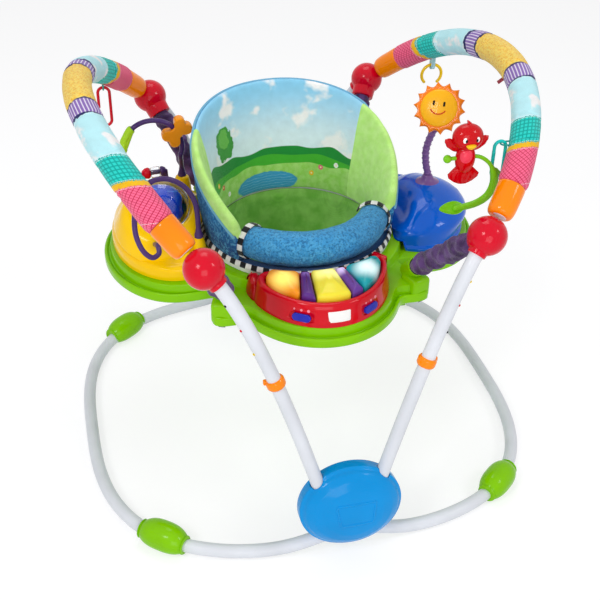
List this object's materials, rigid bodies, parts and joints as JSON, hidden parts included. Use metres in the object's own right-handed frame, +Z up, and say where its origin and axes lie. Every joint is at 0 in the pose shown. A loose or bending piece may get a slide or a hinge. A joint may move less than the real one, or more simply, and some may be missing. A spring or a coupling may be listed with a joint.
{
  "type": "baby activity jumper",
  "caption": "Baby activity jumper: white steel ring base and V legs, padded toy arches, sprung green toy tray and swivel seat",
  "frame": {"origin": "on the floor under the middle of the base ring", "axes": "+X right and +Y back as seen from the front of the tray, +Z up"},
  "size_m": [0.885, 0.8944, 0.776],
  "materials": {
    "white_steel": "gloss",
    "white_ring_plastic": "satin",
    "green_plastic": "gloss",
    "blue_plastic": "gloss",
    "deep_blue_plastic": "gloss",
    "red_plastic": "gloss",
    "orange_plastic": "gloss",
    "yellow_plastic": "gloss",
    "teal_plastic": "gloss",
    "purple_plastic": "satin",
    "leaf_plastic": "satin",
    "clear_plastic": "clear",
    "arch_fabric": "printed",
    "purple_fabric": "gathered",
    "seat_fabric": "printed",
    "denim_fabric": "mottled",
    "spring_steel": "bare"
  },
  "bodies": {
    "frame": {"base_tube_front": "white_steel", "base_tube_rear": "white_steel", "base_tube_left": "white_steel", "base_tube_right": "white_steel", "foot_front_left": "green_plastic", "foot_front_right": "green_plastic", "foot_rear_left": "green_plastic", "foot_rear_right": "green_plastic", "front_hub_cover": "blue_plastic", "front_hub_back": "blue_plastic", "rear_hub_cover": "blue_plastic", "rear_hub_back": "blue_plastic", "leg_front_left": "white_steel", "leg_front_right": "white_steel", "leg_rear_left": "white_steel", "leg_rear_right": "white_steel", "ball_joint_front_left": "red_plastic", "ball_joint_front_right": "red_plastic", "ball_joint_rear_left": "red_plastic", "ball_joint_rear_right": "red_plastic", "arch_tube_left": "white_steel", "arch_tube_right": "white_steel", "arch_cover_left": "arch_fabric", "arch_cover_right": "arch_fabric", "strap_sleeve_front_left": "purple_fabric", "strap_sleeve_front_right": "purple_fabric", "strap_sleeve_rear_left": "purple_fabric", "strap_sleeve_rear_right": "purple_fabric", "spring_front_left": "spring_steel", "spring_front_right": "spring_steel", "spring_rear_left": "spring_steel", "spring_rear_right": "spring_steel"},
    "tray_body": {"tray": "green_plastic", "yellow_station": "yellow_plastic", "clear_dome": "clear_plastic", "bead_wire_front": "purple_plastic", "bead_wire_rear": "purple_plastic", "blue_station": "deep_blue_plastic", "piano_body": "red_plastic"},
    "seat": {"seat_ring": "white_ring_plastic", "seat_sling": "seat_fabric", "backrest": "seat_fabric", "front_bolster": "denim_fabric"},
    "key_orange_body": {"key_orange": "orange_plastic"},
    "key_purple_left_body": {"key_purple_left": "purple_plastic"},
    "key_yellow_body": {"key_yellow": "yellow_plastic"},
    "key_purple_right_body": {"key_purple_right": "purple_plastic"},
    "key_teal_body": {"key_teal": "teal_plastic"},
    "volume_switch_body": {"volume_switch": "deep_blue_plastic"},
    "mode_switch_body": {"mode_switch": "deep_blue_plastic"},
    "spinner_body": {"spinner": "deep_blue_plastic"},
    "bead_bone_body": {"bead_bone": "orange_plastic"},
    "bead_twist_body": {"bead_twist": "leaf_plastic"},
    "green_link_body": {"green_link": "teal_plastic"},
    "vine_body": {"vine": "leaf_plastic"},
    "bird_body": {"bird": "red_plastic"},
    "yellow_ring_body": {"yellow_ring": "yellow_plastic"},
    "red_link_body": {"red_link": "red_plastic"},
    "sun": {"sun_stalk": "purple_plastic", "sun_head": "orange_plastic"}
  },
  "joints": [
    {"name": "bounce", "type": "slide", "parent": "frame", "child": "tray_body", "axis": [0, 0, 1], "range_m": [-0.08, 0.03], "stiffness_N_per_m": 900, "springref_m": 0.01579, "deforming": ["strap_sleeve_front_left", "strap_sleeve_front_right", "strap_sleeve_rear_left", "strap_sleeve_rear_right", "spring_front_left", "spring_front_right", "spring_rear_left", "spring_rear_right"]},
    {"name": "seat_swivel", "type": "hinge", "parent": "tray_body", "child": "seat", "pos_m": [0, 0.01, 0.435], "axis": [0, 0, 1], "continuous": true},
    {"name": "key_orange_press", "type": "slide", "parent": "tray_body", "child": "key_orange_body", "axis": [0, 0, 1], "range_m": [-0.004, 0], "stiffness_N_per_m": 900, "springref_m": 0.003},
    {"name": "key_purple_left_press", "type": "slide", "parent": "tray_body", "child": "key_purple_left_body", "axis": [0, 0, 1], "range_m": [-0.004, 0], "stiffness_N_per_m": 900, "springref_m": 0.003},
    {"name": "key_yellow_press", "type": "slide", "parent": "tray_body", "child": "key_yellow_body", "axis": [0, 0, 1], "range_m": [-0.004, 0], "stiffness_N_per_m": 900, "springref_m": 0.003},
    {"name": "key_purple_right_press", "type": "slide", "parent": "tray_body", "child": "key_purple_right_body", "axis": [0, 0, 1], "range_m": [-0.004, 0], "stiffness_N_per_m": 900, "springref_m": 0.003},
    {"name": "key_teal_press", "type": "slide", "parent": "tray_body", "child": "key_teal_body", "axis": [0, 0, 1], "range_m": [-0.004, 0], "stiffness_N_per_m": 900, "springref_m": 0.003},
    {"name": "volume_switch_slide", "type": "slide", "parent": "tray_body", "child": "volume_switch_body", "axis": [0.8456, -0.5338, 0], "range_m": [-0.004, 0.004]},
    {"name": "mode_switch_slide", "type": "slide", "parent": "tray_body", "child": "mode_switch_body", "axis": [0.7718, 0.6359, 0], "range_m": [-0.004, 0.004]},
    {"name": "spinner_turn", "type": "hinge", "parent": "tray_body", "child": "spinner_body", "pos_m": [-0.256, 0.016, 0.501], "axis": [0, -0.4229, 0.9062], "continuous": true},
    {"name": "bone_slide", "type": "hinge", "parent": "tray_body", "child": "bead_bone_body", "pos_m": [-0.252, 0.14, 0.568], "axis": [0, -1, 0], "range_deg": [-20, 45]},
    {"name": "twist_slide", "type": "hinge", "parent": "tray_body", "child": "bead_twist_body", "pos_m": [-0.252, 0.14, 0.568], "axis": [0, -1, 0], "range_deg": [-30, 11]},
    {"name": "sun_sway", "type": "hinge", "parent": "tray_body", "child": "sun", "pos_m": [0.272, 0.04, 0.5072], "axis": [1, 0, 0], "range_deg": [-20, 20], "stiffness_Nm_per_rad": 1.5},
    {"name": "green_link_swing", "type": "hinge", "parent": "frame", "child": "green_link_body", "pos_m": [0.28761, -0.22595, 0.69555], "axis": [0, 1, 0], "range_deg": [-6, 25]},
    {"name": "vine_swing", "type": "hinge", "parent": "frame", "child": "vine_body", "pos_m": [0.28844, -0.24208, 0.65012], "axis": [0, 1, 0], "range_deg": [-15, 15], "stiffness_Nm_per_rad": 3},
    {"name": "bird_turn", "type": "hinge", "parent": "vine_body", "child": "bird_body", "pos_m": [0.221, -0.24, 0.684], "axis": [1, 0, 0], "range_deg": [-60, 60]},
    {"name": "yellow_ring_swing", "type": "hinge", "parent": "frame", "child": "yellow_ring_body", "pos_m": [0.33276, 0.22087, 0.65191], "axis": [0, 1, 0], "range_deg": [-30, 30]},
    {"name": "red_link_swing", "type": "hinge", "parent": "frame", "child": "red_link_body", "pos_m": [-0.33011, 0.22595, 0.65705], "axis": [0, 1, 0], "range_deg": [-25, 25]}
  ]
}
